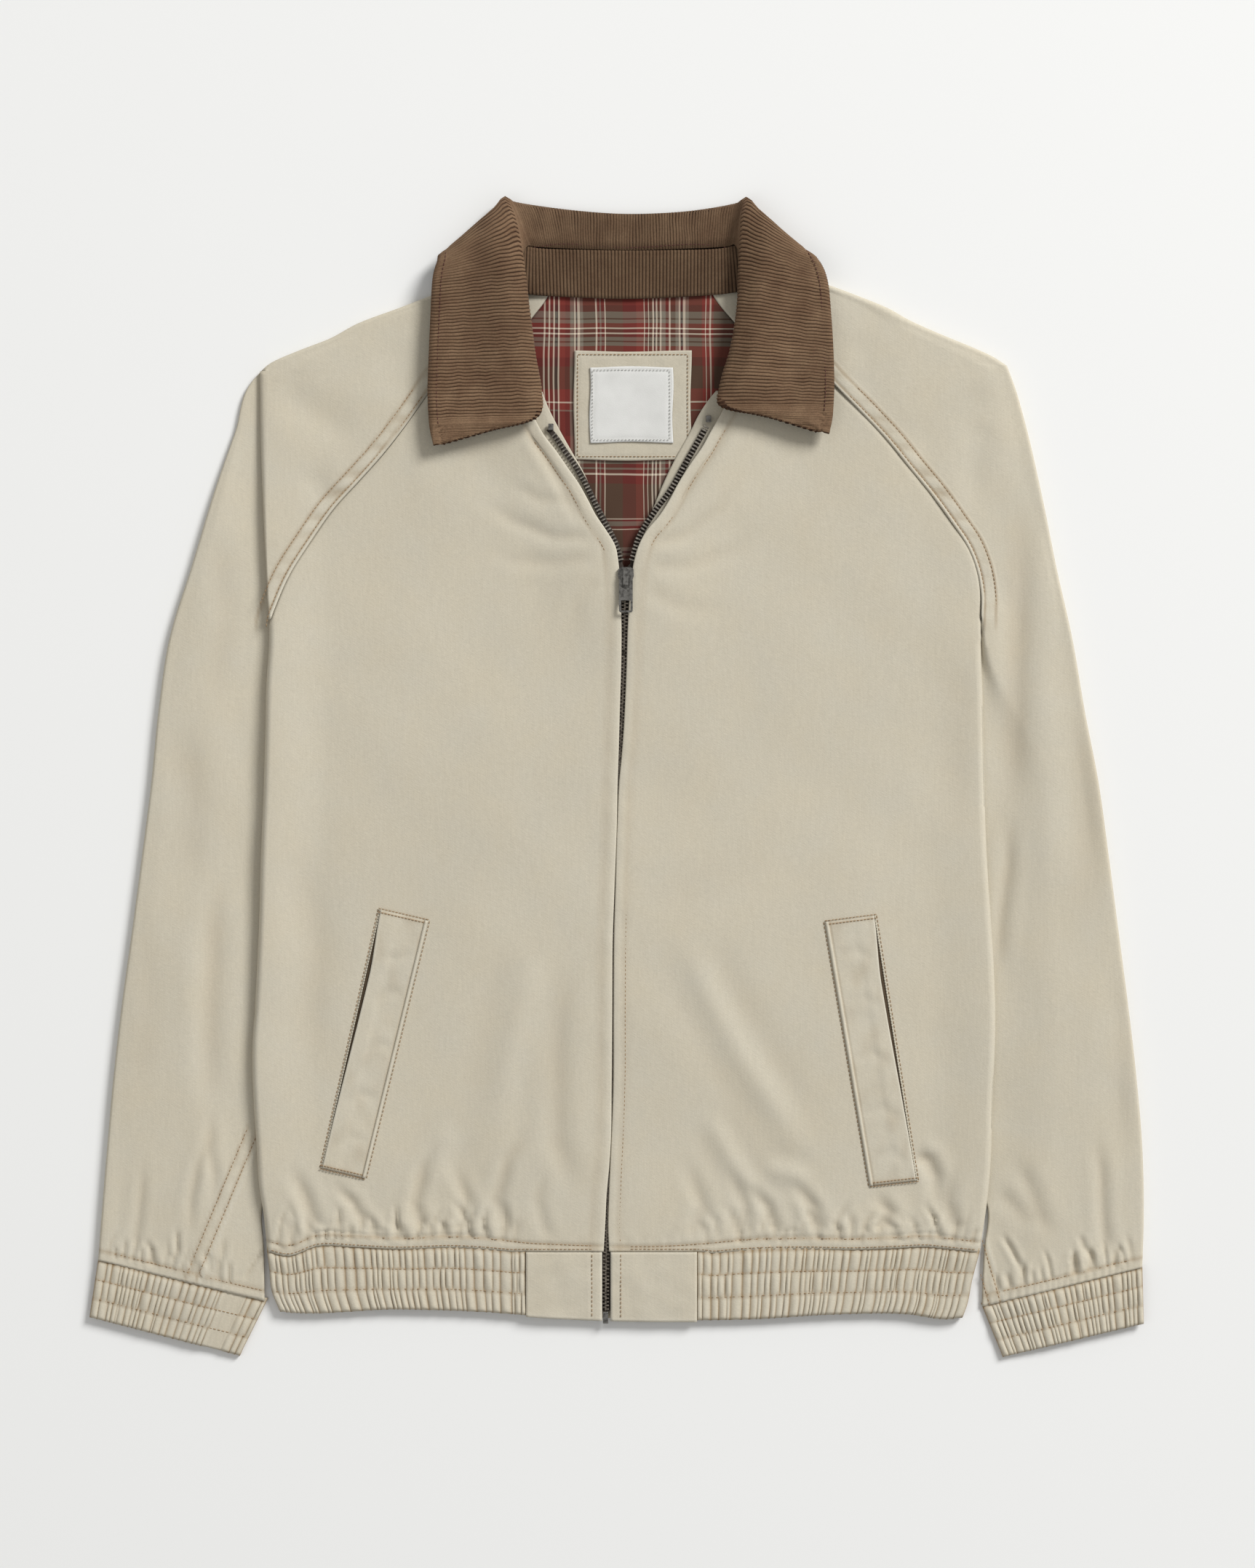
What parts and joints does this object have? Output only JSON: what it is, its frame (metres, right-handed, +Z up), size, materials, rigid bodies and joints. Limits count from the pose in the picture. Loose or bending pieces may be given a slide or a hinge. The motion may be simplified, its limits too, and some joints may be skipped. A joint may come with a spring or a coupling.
{
  "type": "barn jacket",
  "caption": "Zip-front raglan jacket laid flat, with a corduroy collar, slanted welt pockets, and a gathered elastic hem and cuffs",
  "frame": {"origin": "middle of the jacket's outline on the surface that it lies on", "axes": "+Y towards the collar, +X to the viewer's right, +Z up out of the surface, towards the front of the jacket"},
  "size_m": [0.7249, 0.7947, 0.0222],
  "materials": {
    "khaki_twill": "brushed cotton twill",
    "brown_corduroy": "corduroy, about 6 wales a centimetre",
    "plaid_cotton": "woven plaid lining",
    "white_label": "satin label",
    "zip_tape": "woven tape",
    "gunmetal": "dark nickel zip metal"
  },
  "bodies": {
    "jacket": {"back": "khaki_twill", "front_left": "khaki_twill", "front_right": "khaki_twill", "sleeve_left": "khaki_twill", "sleeve_right": "khaki_twill", "cuff_left": "khaki_twill", "cuff_right": "khaki_twill", "hem_band": "khaki_twill", "hem_tab_left": "khaki_twill", "hem_tab_right": "khaki_twill", "collar": "brown_corduroy", "collar_stand": "brown_corduroy", "lining_back": "plaid_cotton", "sleeve_lining_left": "khaki_twill", "sleeve_lining_right": "khaki_twill", "facing_left": "khaki_twill", "facing_right": "khaki_twill", "label_patch": "khaki_twill", "label": "white_label", "welt_left": "khaki_twill", "welt_right": "khaki_twill", "pocket_facing_left": "khaki_twill", "pocket_facing_right": "khaki_twill", "zip_tape_left": "zip_tape", "zip_tape_right": "zip_tape", "zip_chain": "gunmetal", "zip_teeth_left": "gunmetal", "zip_teeth_right": "gunmetal", "zip_stop_left": "gunmetal", "zip_stop_right": "gunmetal", "zip_box": "gunmetal", "zip_slider": "gunmetal"},
    "pull_tab": {"pull_tab": "gunmetal"}
  },
  "joints": [
    {"name": "pull_tab_hinge", "type": "hinge", "parent": "jacket", "child": "pull_tab", "pos_m": [0.0071, 0.1387, 0.0124], "axis": [-1, 0, 0], "range_deg": [0, 165]}
  ]
}
